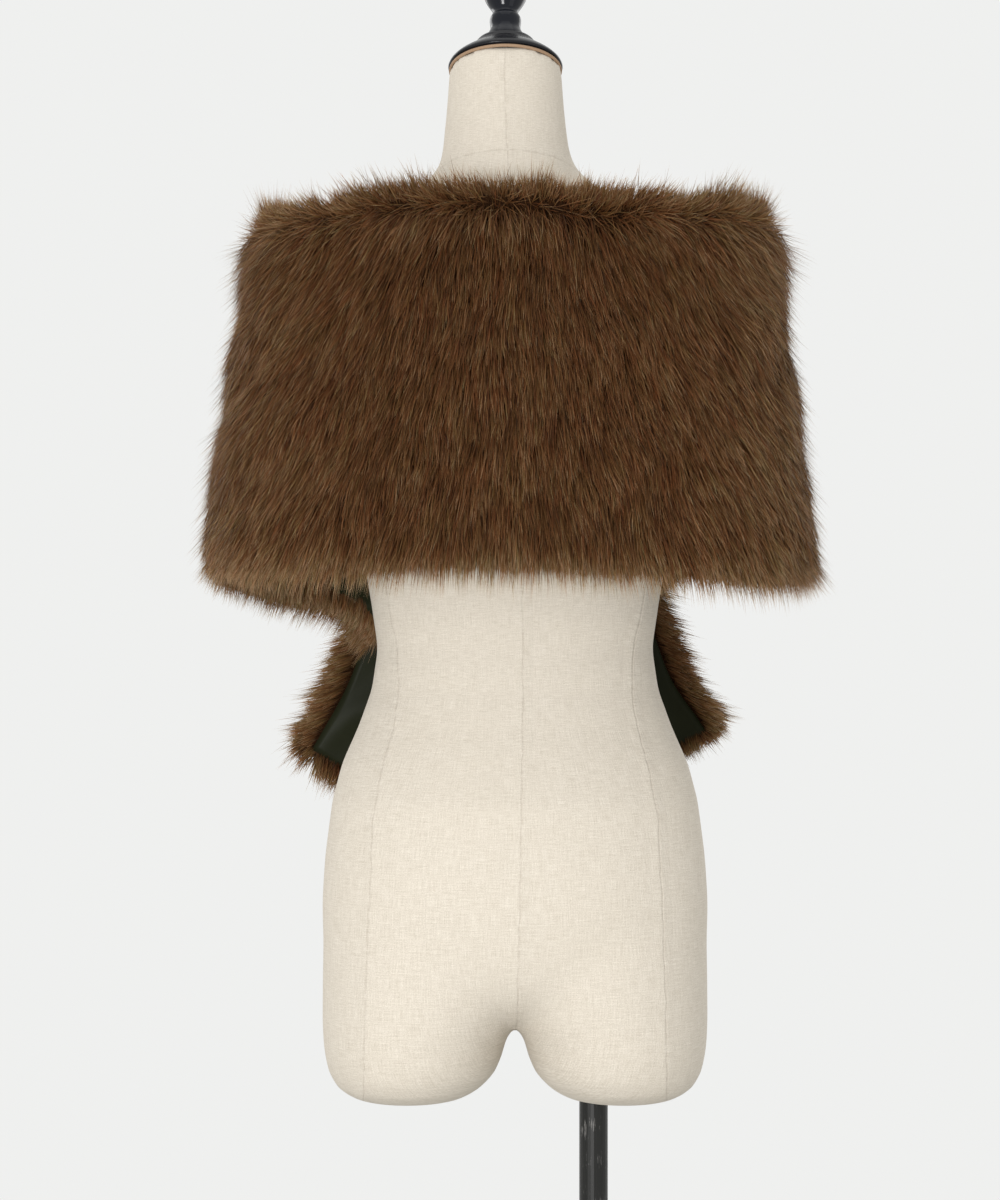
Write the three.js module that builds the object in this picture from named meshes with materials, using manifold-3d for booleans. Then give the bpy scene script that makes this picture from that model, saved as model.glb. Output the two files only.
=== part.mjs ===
// Fur collar wrap on a dress form, at its real size in millimetres.
// +Z is up from the floor, -Y is the wearer's front and +X the wearer's left.
// The origin is the middle of the stand's underside.
//
// The wrap is one long strip of fur cloth with a satin lining. It lies round the shoulders,
// its two ends cross in front, the right one over the left one, and hang out to the sides.
// The form is a padded canvas torso with a turned cap, on a pole in its right thigh.
import * as THREE from 'three';
import Module from 'manifold-3d';
import { mergeVertices } from 'three/addons/utils/BufferGeometryUtils.js';

const wasm = await Module();
wasm.setup();

// Fur cloth: the pile's depth where it stands free and where the other end presses on it,
// and how far the pile reaches past the cut edges of the skin.
const PILE = 26;
const PRESSED_PILE = 9;
const PILE_PAST_TOP = 20;
const PILE_PAST_HEM = 20;
const PILE_PAST_END = 22;
// Parts sewn together lie this far apart.
const SEAM_GAP = 0.3;
// Satin lining: its thickness and how far its edge stays inside the skin's edge.
const LINING = 1.2;
const LINING_INSET = 5;

// Canvas form
const NECK_TILT = 19 * Math.PI / 180;
const NECK_TILTS_FROM = 1385;
const NECK_TOP = 1471.5;
// The neck stands this far off the form's middle, which it leaves between these two heights.
const NECK_SHIFT = 8;
const SHIFT_FROM = 1290;
const SHIFT_TO = 1420;
const BODY_POINTS = 44;
const BODY_STEPS = 36;
const THIGH_POINTS = 32;

// Stand
const BASE_RADIUS = 175;
const BASE_HEIGHT = 10;
const POLE_RADIUS = 12;
const POLE_X = -66;
const POLE_IN_THIGH = 55;
const POLE_FIT = 0.3;
const COLLAR_RADIUS = 21;
const COLLAR_HEIGHT = 42;
const THIGH_BOTTOM = 604;

// The canvas torso's level sections: half is half the width, front and back the depths either side
// of the side seam, and square the power of the rounded outline, 2 for an ellipse.
const BODY_COLUMNS = ['z', 'half', 'front', 'back', 'square'];
const BODY_ROWS = [
  [670, 12, 26, 34, 2.0],
  [677, 44, 52, 66, 2.0],
  [690, 90, 74, 94, 2.1],
  [708, 136, 88, 112, 2.2],
  [732, 158.5, 96, 120, 2.25],
  [756, 161.8, 99, 123, 2.3],
  [779, 162, 100, 124, 2.3],
  [845, 155.5, 98, 116, 2.2],
  [890, 144.5, 92, 98, 2.15],
  [932, 126, 86, 82, 2.1],
  [978, 115.5, 84, 75, 2.1],
  [1033, 123, 92, 80, 2.1],
  [1080, 131, 100, 88, 2.1],
  [1140, 138, 119, 97, 2.15],
  [1185, 144, 112, 103, 2.2],
  [1235, 161, 100, 106, 2.2],
  [1280, 184.6, 82, 103.8, 2.1],
  [1306, 195, 70, 97.8, 2.0],
  [1321, 190, 62, 88, 1.95],
  [1336, 152, 54, 81, 1.9],
  [1354, 102, 48, 73, 1.95],
  [1373, 71, 45, 64, 2.0],
  [1386, 58.5, 44, 58, 2.0],
  [1400, 53.5, 45, 53, 2.0],
  [1430, 50, 47, 47, 2.0],
  [1456, 48, 49, 43, 2.0],
  [NECK_TOP, 47, 49, 41, 2.0],
];

// The rounded thigh stubs under it: inner and outer are the distances of their two sides
// from the middle of the form.
const THIGH_COLUMNS = ['z', 'inner', 'outer', 'front', 'back'];
const THIGH_ROWS = [
  [THIGH_BOTTOM, 74, 106, 22, 26],
  [606, 52, 128, 46, 52],
  [610, 39, 139, 62, 72],
  [617, 28, 149, 78, 90],
  [628, 17, 156, 88, 101],
  [643, 10.5, 159.5, 93, 107],
  [657, 7, 161, 95, 110],
  [671, -2, 161.6, 96, 112],
  [690, -14, 161.8, 96, 114],
  [715, -26, 161.8, 95, 115],
  [740, -34, 161, 93, 112],
  [765, -38, 156, 88, 105],
];

// The wrap's skin, one row for each section across the strip, from the end that hangs at the
// wearer's right, under the other, round the back, to the end that hangs at the left. top and hem
// are the strip's two long edges. bulge is how far the middle stands out from the straight line
// between them, and fold the height of the soft folds that run along the strip.
const WRAP_COLUMNS = ['topX', 'topY', 'topZ', 'hemX', 'hemY', 'hemZ', 'bulge', 'fold'];
const WRAP_ROWS = [
  [-164, -118, 922, 45, -130, 818, 2, 1.5],
  [-140, -121, 958, 68, -131, 862, 3, 1],
  [-118, -124, 1014, 94, -130, 918, 4, 0.5],
  [-78, -127, 1088, 112, -128, 984, 6, 0],
  [-20, -130, 1157, 138, -120, 1018, 8, 0],
  [44, -122, 1210, 171, -100, 1031, 12, 1],
  [103, -98, 1256, 204, -70, 1037, 16, 3],
  [152, -62, 1296, 227, -36, 1046, 13, 3],
  [184, -30, 1321, 238, -4, 1054, 7, 2],
  [196.4, 6, 1327, 238, 32, 1061, 4, 1.5],
  [184, 48, 1328, 223, 74, 1061, 4, 1.5],
  [152, 76, 1332, 188, 103, 1059, 4, 1.5],
  [105, 91, 1341, 135, 118, 1063, 4, 1.5],
  [0, 98, 1343, 0, 126, 1066, 4, 1.5],
  [-105, 91, 1338, -133, 118, 1058, 4, 1.5],
  [-152, 76, 1337, -184, 103, 1054, 4, 1.5],
  [-184, 48, 1334, -216, 74, 1055, 2, 1.5],
  [-195.2, 6, 1332, -229, 32, 1061, 1, 1],
  [-186, -30, 1321, -228, -4, 1062, 3, 2],
  [-150, -66, 1300, -218, -38, 1062, 10, 3],
  [-98, -105, 1264, -190, -80, 1061, 14, 3],
  [-30, -132, 1218, -154, -117, 1072, 12, 1],
  [38, -144, 1152, -122, -138, 1048, 8, 1],
  [84, -147, 1078, -100, -145, 982, 6, 1],
  [129, -148, 1002, -82, -147, 904, 4, 1],
  [153, -149, 946, -50, -148, 836, 3, 1],
  [181, -151, 896, -16, -150, 772, 2, 1.5],
];
const FOLDS_ACROSS = 3;
const STEPS_ACROSS = 8;

// The strip's stretches, each a piece of fur and a piece of lining: the rows that each goes from
// and to, and how many steps it is made in.
const STRETCH_COLUMNS = ['name', 'from', 'to', 'steps'];
const STRETCHES = [
  ['left_end', 0, 3, 6],
  ['left_front', 3, 7, 8],
  ['left_shoulder', 7, 11, 8],
  ['back', 11, 15, 10],
  ['right_shoulder', 15, 19, 8],
  ['right_front', 19, 23, 8],
  ['right_end', 23, 26, 6],
];
// The rows of the end that lies on top, whose outline presses the pile under it.
const COVER_FROM = 20;
const PRESS_NEAR = 24;
const PRESS_FAR = 62;

const colours = {
  fur: { color: 0x5a3d26, roughness: 0.95, metalness: 0 },
  lining: { color: 0x2a2d22, roughness: 0.45, metalness: 0 },
  canvas: { color: 0xe6dccb, roughness: 0.9, metalness: 0 },
  lacquer: { color: 0x1f2022, roughness: 0.25, metalness: 0 },
  steel: { color: 0x232323, roughness: 0.45, metalness: 0.4 },
};
const materials = {};
for (const [name, look] of Object.entries(colours)) {
  materials[name] = new THREE.MeshStandardMaterial(look);
}

const wrapOnForm = new THREE.Group();

function addPiece(name, geometry, material, parent = wrapOnForm) {
  const piece = new THREE.Mesh(geometry, material);
  piece.name = name;
  parent.add(piece);
  return piece;
}

function smooth(low, high, x) {
  const t = Math.min(1, Math.max(0, (x - low) / (high - low)));
  return t * t * (3 - 2 * t);
}

// A curve through a table's rows: at place t, counted in rows, it gives each column's value.
// Past either end it runs on straight.
function through(columns, rows) {
  const last = rows.length - 1;
  const curve = (t, c) => {
    const i = Math.min(Math.floor(t), last - 1);
    const f = t - i;
    const [p1, p2] = [rows[i][c], rows[i + 1][c]];
    const p0 = i > 0 ? rows[i - 1][c] : 2 * p1 - p2;
    const p3 = i + 2 <= last ? rows[i + 2][c] : 2 * p2 - p1;
    const bend = 2 * p0 - 5 * p1 + 4 * p2 - p3;
    const turn = 3 * p1 - p0 - 3 * p2 + p3;
    return p1 + f / 2 * (p2 - p0 + f * (bend + f * turn));
  };
  const step = 0.01;
  return (t) => {
    const inside = Math.min(Math.max(t, 0), last);
    const from = t < 0 ? 0 : last - step;
    const values = columns.map((column, c) => {
      const past = inside === t ? 0 : (t - inside) * (curve(from + step, c) - curve(from, c)) / step;
      return [column, curve(inside, c) + past];
    });
    return Object.fromEntries(values);
  };
}

// A closed body from rings of equal length. Point k of a ring lies opposite point n - 1 - k, so
// each end is closed by a ladder of triangles between them, and the two halves are split into
// triangles alike.
function loft(rings) {
  const count = rings[0].length;
  const last = rings.length - 1;
  const triangles = [];
  const id = (ring, k) => ring * count + k % count;
  for (let ring = 0; ring < last; ring += 1) {
    for (let k = 0; k < count; k += 1) {
      const [a, b, c, d] = [id(ring, k), id(ring, k + 1), id(ring + 1, k + 1), id(ring + 1, k)];
      if (k < count / 2) triangles.push([a, b, c], [a, c, d]);
      else triangles.push([a, b, d], [b, c, d]);
    }
  }
  for (let k = 0; k < count / 2 - 1; k += 1) {
    const [a, b, c, d] = [k, k + 1, count - 2 - k, count - 1 - k];
    triangles.push([a, d, c], [a, c, b]);
    triangles.push([id(last, a), id(last, b), id(last, c)], [id(last, a), id(last, c), id(last, d)]);
  }
  const points = rings.flat();
  let volume = 0;
  for (const [a, b, c] of triangles) {
    volume += points[a].dot(new THREE.Vector3().crossVectors(points[b], points[c]));
  }
  const faces = volume < 0 ? triangles.map(([a, b, c]) => [a, c, b]) : triangles;
  const geometry = new THREE.BufferGeometry().setFromPoints(points);
  geometry.setIndex(faces.flat());
  return geometry;
}

function toManifold(geometry) {
  const bare = geometry.clone();
  bare.deleteAttribute('normal');
  bare.deleteAttribute('uv');
  const merged = mergeVertices(bare, 1e-4);
  return new wasm.Manifold(new wasm.Mesh({
    numProp: 3,
    vertProperties: new Float32Array(merged.attributes.position.array),
    triVerts: new Uint32Array(merged.index.array),
  }));
}

function fromManifold(solid) {
  const mesh = solid.getMesh();
  const geometry = new THREE.BufferGeometry();
  geometry.setAttribute('position', new THREE.BufferAttribute(new Float32Array(mesh.vertProperties), 3));
  geometry.setIndex(Array.from(mesh.triVerts));
  return geometry;
}

// A rounded outline in a level plane, from the front middle round the +X side. front and back
// are its depths, and power 2 gives an ellipse.
function roundedRing(middleX, half, front, back, power, z, points) {
  const ring = [];
  for (let k = 0; k < points; k += 1) {
    const angle = 2 * Math.PI * (k + 0.5) / points;
    const across = Math.sin(angle);
    const along = -Math.cos(angle);
    const x = Math.sign(across) * half * Math.abs(across) ** (2 / power);
    const y = (along < 0 ? -front : back) * Math.abs(along) ** (2 / power);
    ring.push(new THREE.Vector3(middleX + x, y, z));
  }
  return ring;
}

// The canvas torso, with the top of its neck cut off at a slant
function makeTorso() {
  const section = through(BODY_COLUMNS, BODY_ROWS);
  const rings = [];
  const last = BODY_ROWS.length - 1;
  for (let i = 0; i <= BODY_STEPS; i += 1) {
    const { z, half, front, back, square } = section(last * i / BODY_STEPS);
    const shift = NECK_SHIFT * smooth(SHIFT_FROM, SHIFT_TO, z);
    const slant = Math.tan(NECK_TILT) * smooth(NECK_TILTS_FROM, NECK_TOP, z);
    const ring = roundedRing(shift, half, front, back, square, z, BODY_POINTS);
    rings.push(ring.map((p) => new THREE.Vector3(p.x, p.y, p.z + p.y * slant)));
  }
  return toManifold(loft(rings));
}

function makeThigh(side) {
  const rings = THIGH_ROWS.map(([z, inner, outer, front, back]) => {
    const middle = side * (inner + outer) / 2;
    return roundedRing(middle, (outer - inner) / 2, front, back, 2.15, z, THIGH_POINTS);
  });
  return toManifold(loft(rings));
}

function makeForm() {
  const bore = new THREE.CylinderGeometry(POLE_RADIUS + POLE_FIT, POLE_RADIUS + POLE_FIT, 2 * POLE_IN_THIGH, 32);
  bore.rotateX(Math.PI / 2).translate(POLE_X, 0, THIGH_BOTTOM);
  const torso = makeTorso().add(makeThigh(1)).add(makeThigh(-1)).subtract(toManifold(bore));
  addPiece('form_body', fromManifold(torso), materials.canvas);
}

// The cap on the neck and the turned finial on it, both square to the slanted neck
function makeNeckTop() {
  const top = BODY_ROWS.at(-1);
  const onNeck = new THREE.Group();
  onNeck.position.set(NECK_SHIFT, 0, NECK_TOP);
  onNeck.rotation.x = NECK_TILT;
  wrapOnForm.add(onNeck);
  const middleY = (top[3] - top[2]) / 2;
  const lathe = (profile, steps) => {
    const geometry = new THREE.LatheGeometry(profile.map(([r, z]) => new THREE.Vector2(r, z)), steps);
    return geometry.rotateX(Math.PI / 2).translate(0, middleY, 0);
  };
  const capProfile = [[0, 0.4], [47.8, 0.4], [48.7, 1.6], [48.2, 3.4], [43.6, 8], [36, 13.5], [29, 18.4], [25.6, 20.6],
    [25.2, 24.6], [22.8, 25.6], [0, 25.6]];
  addPiece('neck_cap', lathe(capProfile, 40), materials.lacquer, onNeck);
  const finialProfile = [[0, 25.9], [17.4, 25.9], [17, 28], [15.6, 32], [13.4, 35.6], [12.4, 37.6], [12.4, 40],
    [13.2, 41.6], [13.5, 45], [13.2, 48.6], [12, 50.4], [9.8, 52.2], [10.4, 54.4], [13, 58], [16.2, 63], [18.8, 69],
    [19.3, 75], [17.8, 83], [13.8, 90], [8.6, 94.6], [5.4, 96.4], [5.8, 98.6], [5, 101.4], [2.6, 103.2], [0, 103.8]];
  addPiece('finial', lathe(finialProfile, 28), materials.lacquer, onNeck);
}

function makeStand() {
  const edge = 3;
  const baseProfile = [[0, 0], [BASE_RADIUS - 1, 0], [BASE_RADIUS, 1], [BASE_RADIUS, BASE_HEIGHT - edge],
    [BASE_RADIUS - edge, BASE_HEIGHT - 0.6], [BASE_RADIUS - 3 * edge, BASE_HEIGHT], [0, BASE_HEIGHT]];
  const base = new THREE.LatheGeometry(baseProfile.map(([r, z]) => new THREE.Vector2(r, z)), 56);
  addPiece('stand_base', base.rotateX(Math.PI / 2), materials.steel);

  const low = BASE_HEIGHT + SEAM_GAP;
  const high = THIGH_BOTTOM + POLE_IN_THIGH - POLE_FIT;
  const pole = new THREE.CylinderGeometry(POLE_RADIUS, POLE_RADIUS, high - low, 28);
  addPiece('stand_pole', pole.rotateX(Math.PI / 2), materials.steel).position.set(POLE_X, 0, (low + high) / 2);

  const inside = POLE_RADIUS + SEAM_GAP;
  const collarProfile = [[inside, 0], [COLLAR_RADIUS, 0], [COLLAR_RADIUS, 6], [16.5, 11], [16, COLLAR_HEIGHT - 2],
    [15, COLLAR_HEIGHT], [inside, COLLAR_HEIGHT], [inside, 0]];
  const collar = new THREE.LatheGeometry(collarProfile.map(([r, z]) => new THREE.Vector2(r, z)), 28);
  addPiece('pole_collar', collar.rotateX(Math.PI / 2), materials.steel).position.set(POLE_X, 0, low);
}

const wrapSection = through(WRAP_COLUMNS, WRAP_ROWS);

function wrapEdges(u) {
  const row = wrapSection(u);
  return {
    top: new THREE.Vector3(row.topX, row.topY, row.topZ),
    hem: new THREE.Vector3(row.hemX, row.hemY, row.hemZ),
    bulge: row.bulge,
    fold: row.fold,
  };
}

function normalOf(surface, u, v) {
  const d = 0.02;
  const along = surface(u + d, v).sub(surface(u - d, v));
  const across = surface(u, v + d).sub(surface(u, v - d));
  return across.cross(along).normalize();
}

function flatSkin(u, v) {
  const { top, hem } = wrapEdges(u);
  return top.lerp(hem, v);
}

// A point of the skin's inner face: u runs along the strip, counted in rows, and v across it, from
// 0 at the top edge to 1 at the hem
function skin(u, v) {
  const { top, hem, bulge, fold } = wrapEdges(u);
  const out = normalOf(flatSkin, u, v);
  const crown = 4 * v * (1 - v) * bulge;
  const wave = fold * Math.cos(2 * Math.PI * FOLDS_ACROSS * v + 1.3 * u) * Math.sin(Math.PI * Math.min(1, Math.max(0, v)));
  return top.lerp(hem, v).addScaledVector(out, crown + wave);
}

// How far a point lies inside the outline of the end on top, seen from the front. Outside it is
// minus the distance.
const coverOutline = [];
for (let u = COVER_FROM; u <= WRAP_ROWS.length - 1; u += 0.5) {
  const { top } = wrapEdges(u);
  coverOutline.push([top.x, top.z]);
}
for (let u = WRAP_ROWS.length - 1; u >= COVER_FROM; u -= 0.5) {
  const { hem } = wrapEdges(u);
  coverOutline.push([hem.x, hem.z]);
}

function insideCover(x, z) {
  let inside = false;
  let nearest = Infinity;
  coverOutline.forEach(([x1, z1], i) => {
    const [x2, z2] = coverOutline[(i + 1) % coverOutline.length];
    if ((z1 > z) !== (z2 > z) && x < x1 + (x2 - x1) * (z - z1) / (z2 - z1)) inside = !inside;
    const [dx, dz] = [x2 - x1, z2 - z1];
    const f = Math.min(1, Math.max(0, ((x - x1) * dx + (z - z1) * dz) / (dx * dx + dz * dz)));
    nearest = Math.min(nearest, Math.hypot(x - x1 - f * dx, z - z1 - f * dz));
  });
  return inside ? nearest : -nearest;
}

// The pile is pressed flat where the other end lies on it
function pileDepth(u, point) {
  if (u > 9) return PILE;
  const near = insideCover(point.x, point.z);
  return PILE - (PILE - PRESSED_PILE) * smooth(-PRESS_FAR, -PRESS_NEAR, near);
}

// Places across a strip that is wide, in millimetres down from its top edge, where the lining has
// its points
function liningPlaces(wide) {
  const places = [LINING_INSET];
  for (let i = 1; i < STEPS_ACROSS; i += 1) places.push(wide * i / STEPS_ACROSS);
  return [...places, wide - LINING_INSET];
}

// The outline of the fur across the strip: at is millimetres down from the top edge, and rise the
// share of the pile's depth. The first half is the inner face from top to hem and the second half
// the outer face back up, point for point.
function furOutline(wide) {
  const flat = liningPlaces(wide);
  const top = -PILE_PAST_TOP;
  const hem = PILE_PAST_HEM;
  const inner = [[top, 0.42], [0.7 * top, 0.14], ...flat.map((at) => [at, 0]),
    [wide + 0.7 * hem, 0.14], [wide + hem, 0.42]];
  const outer = [[top, 0.5], [0.8 * top, 0.84], ...flat.map((at) => [at, 1]),
    [wide + 0.8 * hem, 0.84], [wide + hem, 0.5]];
  return [...inner, ...outer.reverse()].map(([at, rise]) => ({ at, rise }));
}

// One ring of the fur at place u. swell is 1 along the strip and shrinks to 0 at a rounded end.
function furRing(u, swell) {
  const { top, hem } = wrapEdges(u);
  const wide = top.distanceTo(hem);
  const drawnIn = PILE_PAST_END * (1 - swell);
  const middle = 0.45;
  return furOutline(wide).map(({ at, rise }) => {
    const v = (wide / 2 + (at - wide / 2) * (1 - drawnIn / wide)) / wide;
    const held = Math.min(1, Math.max(0, v));
    const depth = pileDepth(u, skin(u, held));
    const lift = depth * (middle + (rise - middle) * swell);
    return skin(u, v).addScaledVector(normalOf(skin, u, held), lift);
  });
}

// Millimetres that the strip's middle moves for each row
function speed(u) {
  const middle = (at) => {
    const { top, hem } = wrapEdges(at);
    return top.lerp(hem, 0.5);
  };
  return middle(u + 0.05).distanceTo(middle(u - 0.05)) / 0.1;
}

// The places along the strip where a stretch has its rings. It stops half a seam gap short of the
// next stretch. The skin ends at a free end, and the lining one place before it.
function placesAlong({ from, to, steps }) {
  const last = WRAP_ROWS.length - 1;
  const low = from + (from > 0 ? SEAM_GAP / 2 / speed(from) : LINING_INSET / speed(0.05));
  const high = to - (to < last ? SEAM_GAP / 2 / speed(to) : LINING_INSET / speed(last - 0.05));
  return Array.from({ length: steps + 1 }, (_, i) => low + (high - low) * i / steps);
}

function makeFur(stretch) {
  const places = placesAlong(stretch);
  const last = WRAP_ROWS.length - 1;
  const rings = places.map((u) => furRing(u, 1));
  for (const share of [0, 0.4, 0.75, 0.95]) {
    const swell = Math.sqrt(1 - share * share);
    const reach = share * PILE_PAST_END;
    if (stretch.from === 0) rings.unshift(furRing(-reach / speed(0.05), swell));
    if (stretch.to === last) rings.push(furRing(last + reach / speed(last - 0.05), swell));
  }
  addPiece(`fur_${stretch.name}`, loft(rings), materials.fur);
}

// The lining lies just inside the skin and stops short of its edges
function makeLining(stretch) {
  const rings = placesAlong(stretch).map((u) => {
    const { top, hem } = wrapEdges(u);
    const wide = top.distanceTo(hem);
    const face = (depth) => liningPlaces(wide).map((at) => {
      const v = at / wide;
      return skin(u, v).addScaledVector(normalOf(skin, u, v), -depth);
    });
    return [...face(SEAM_GAP), ...face(SEAM_GAP + LINING).reverse()];
  });
  addPiece(`lining_${stretch.name}`, loft(rings), materials.lining);
}

makeForm();
makeNeckTop();
makeStand();
for (const row of STRETCHES) {
  const stretch = Object.fromEntries(STRETCH_COLUMNS.map((column, c) => [column, row[c]]));
  makeFur(stretch);
  makeLining(stretch);
}

export default wrapOnForm;
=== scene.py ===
"""Looks of a fur shoulder wrap on a canvas dress form, in metres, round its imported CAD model.
+Z is up, -Y is the wearer's front and +X the wearer's left."""
import math
from types import SimpleNamespace

import bpy
import numpy as np
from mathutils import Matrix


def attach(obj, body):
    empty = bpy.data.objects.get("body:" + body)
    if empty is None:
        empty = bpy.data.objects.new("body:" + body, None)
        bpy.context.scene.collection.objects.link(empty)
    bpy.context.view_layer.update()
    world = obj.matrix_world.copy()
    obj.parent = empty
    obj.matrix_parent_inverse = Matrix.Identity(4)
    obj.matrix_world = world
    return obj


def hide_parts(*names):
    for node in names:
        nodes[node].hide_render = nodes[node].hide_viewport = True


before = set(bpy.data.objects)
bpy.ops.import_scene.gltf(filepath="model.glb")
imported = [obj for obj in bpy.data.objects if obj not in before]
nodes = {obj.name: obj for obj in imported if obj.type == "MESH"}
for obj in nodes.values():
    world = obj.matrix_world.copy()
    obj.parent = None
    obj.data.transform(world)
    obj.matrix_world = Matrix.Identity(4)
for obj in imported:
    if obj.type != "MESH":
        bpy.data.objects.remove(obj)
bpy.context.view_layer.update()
MM = 0.001

# ---- camera, light and floor
CAMERA_AT = (0.0126, 3.0, 1.024)
CAMERA_LENS = 107.1


def new_object(name, data):
    """An object put in the scene."""
    made = bpy.data.objects.new(name, data)
    bpy.context.scene.collection.objects.link(made)
    return made


camera_data = bpy.data.cameras.new("photo_camera")
camera_data.sensor_fit = "VERTICAL"
camera_data.sensor_height = 36
camera_data.lens = CAMERA_LENS
camera = new_object("photo_camera", camera_data)
camera.location = CAMERA_AT
camera.rotation_euler = (math.pi / 2, 0, math.pi)
bpy.context.scene.camera = camera


def soft_box(name, at, aim, size, watts):
    """A square studio lamp at one point that faces another."""
    data = bpy.data.lights.new(name, "AREA")
    data.shape = "SQUARE"
    data.size = size
    data.energy = watts
    lamp = new_object(name, data)
    from_to = np.array(aim, float) - np.array(at, float)
    level = math.hypot(from_to[0], from_to[1])
    lamp.location = at
    lamp.rotation_euler = (math.atan2(level, -from_to[2]), 0, math.atan2(from_to[1], from_to[0]) - math.pi / 2)


CHEST = (0, 0, 1.1)
WAIST = (0, 0, 0.98)
soft_box("lamp_back_left", (1.0, 3.0, 0.8), WAIST, 0.8, 54)
soft_box("lamp_back_right", (-2.4, 2.4, 1.1), CHEST, 1.8, 6)
soft_box("lamp_front_left", (2.2, -2.4, 2.0), CHEST, 1.8, 20)
soft_box("lamp_front_right", (-2.0, -2.6, 1.6), CHEST, 1.8, 12)
soft_box("lamp_top", (0, 0.3, 3.4), CHEST, 2.0, 6)

world = bpy.data.worlds.new("studio")
world.use_nodes = True
world.node_tree.nodes["Background"].inputs["Color"].default_value = (0.865, 0.87, 0.86, 1)
bpy.context.scene.world = world
bpy.context.scene.view_settings.view_transform = "Standard"


# ---- node helpers
def tree_of(name):
    """A new material with its node tree and its Principled shader."""
    material = bpy.data.materials.new(name)
    material.use_nodes = True
    tree = material.node_tree
    return material, tree, tree.nodes["Principled BSDF"]


def put(tree, kind, links=(), **values):
    """A node of a kind with values on its sockets or properties, and links as (socket, source)."""
    node = tree.nodes.new(kind)
    for key, value in values.items():
        if hasattr(node, key):
            setattr(node, key, value)
        else:
            node.inputs[key.replace("_", " ")].default_value = value
    for socket, source in links:
        tree.links.new(source, node.inputs[socket])
    return node


def feed(tree, socket, value):
    """Gives a socket a number, a colour or the value of another socket."""
    if isinstance(value, (int, float)):
        socket.default_value = value
    elif isinstance(value, tuple):
        socket.default_value = (*value, 1)
    else:
        tree.links.new(value, socket)


def math_node(tree, operation, *sources):
    """A Math node whose inputs are sockets or numbers."""
    node = tree.nodes.new("ShaderNodeMath")
    node.operation = operation
    for socket, value in zip(node.inputs, sources):
        feed(tree, socket, value)
    return node.outputs[0]


def ramp(tree, source, stops):
    """A colour ramp on a value, stops as (place, (r, g, b))."""
    node = tree.nodes.new("ShaderNodeValToRGB")
    tree.links.new(source, node.inputs["Fac"])
    elements = node.color_ramp.elements
    while len(elements) < len(stops):
        elements.new(0.5)
    for element, (place, colour) in zip(elements, stops):
        element.position = place
        element.color = (*colour, 1)
    return node.outputs["Color"]


def mix(tree, factor, a, b, blend="MIX"):
    """A colour mix whose inputs are sockets, numbers or colours."""
    node = tree.nodes.new("ShaderNodeMix")
    node.data_type = "RGBA"
    node.blend_type = blend
    for place, value in ((0, factor), (6, a), (7, b)):
        feed(tree, node.inputs[place], value)
    return node.outputs[2]


def new_group(name, inputs, outputs):
    """An empty shader node group. Its inputs have a number, or None for a vector, and its outputs are numbers."""
    group = bpy.data.node_groups.new(name, "ShaderNodeTree")
    for socket, value in inputs.items():
        kind = "NodeSocketVector" if value is None else "NodeSocketFloat"
        made = group.interface.new_socket(name=socket, in_out="INPUT", socket_type=kind)
        if value is not None:
            made.default_value = value
    for socket in outputs:
        group.interface.new_socket(name=socket, in_out="OUTPUT", socket_type="NodeSocketFloat")
    return group, group.nodes.new("NodeGroupInput"), group.nodes.new("NodeGroupOutput")


def noise(tree, vector, scale, detail=2.0, rough=0.5):
    """A noise value between 0 and 1, at one scale or at a scale for each axis."""
    if isinstance(scale, tuple):
        vector = put(tree, "ShaderNodeMapping", [("Vector", vector)], Scale=scale).outputs["Vector"]
        scale = 1.0
    node = put(tree, "ShaderNodeTexNoise", [("Vector", vector)], Scale=scale, Detail=detail, Roughness=rough)
    return node.outputs["Fac"]


def finish(tree, shader, colour, rough, shine=0.5):
    """The shader's colour, roughness and shine, each plain or from a socket."""
    for name, value in (("Base Color", colour), ("Roughness", rough), ("Specular IOR Level", shine)):
        feed(tree, shader.inputs[name], value)


def spread(tree, value, source=(0.0, 1.0), target=(0.0, 1.0)):
    """A value mapped from one range to another and held inside it."""
    node = put(tree, "ShaderNodeMapRange", [("Value", value)])
    for socket, number in zip(("From Min", "From Max", "To Min", "To Max"), source + target):
        node.inputs[socket].default_value = number
    return node.outputs["Result"]


def on_map(tree, name):
    """The place on a UV map."""
    return put(tree, "ShaderNodeUVMap", uv_map=name).outputs["UV"]


# Woven threads: fine threads both ways with thicker slubs here and there, as a height and a shade
WEAVE, weave_in, weave_out = new_group(
    "woven_threads", {"Cloth": None, "Threads": 1200.0, "Slub": 0.5}, ("Height", "Shade"))
weave_cloth = weave_in.outputs["Cloth"]
thread_place = put(WEAVE, "ShaderNodeVectorMath", [(0, weave_cloth), ("Scale", weave_in.outputs["Threads"])],
                   operation="SCALE").outputs[0]
threads = math_node(WEAVE, "ADD", noise(WEAVE, thread_place, (0.05, 1.0, 1.0), 1.0),
                    noise(WEAVE, thread_place, (1.0, 0.05, 1.0), 1.0))
slubs = math_node(WEAVE, "ADD", noise(WEAVE, weave_cloth, (40, 900, 1.0), 2.0),
                  noise(WEAVE, weave_cloth, (900, 40, 1.0), 2.0))
slub_part = math_node(WEAVE, "MULTIPLY", slubs, weave_in.outputs["Slub"])
relief = math_node(WEAVE, "ADD", threads, slub_part)
WEAVE.links.new(relief, weave_out.inputs["Height"])
WEAVE.links.new(math_node(WEAVE, "MULTIPLY", relief, 0.33), weave_out.inputs["Shade"])

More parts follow.
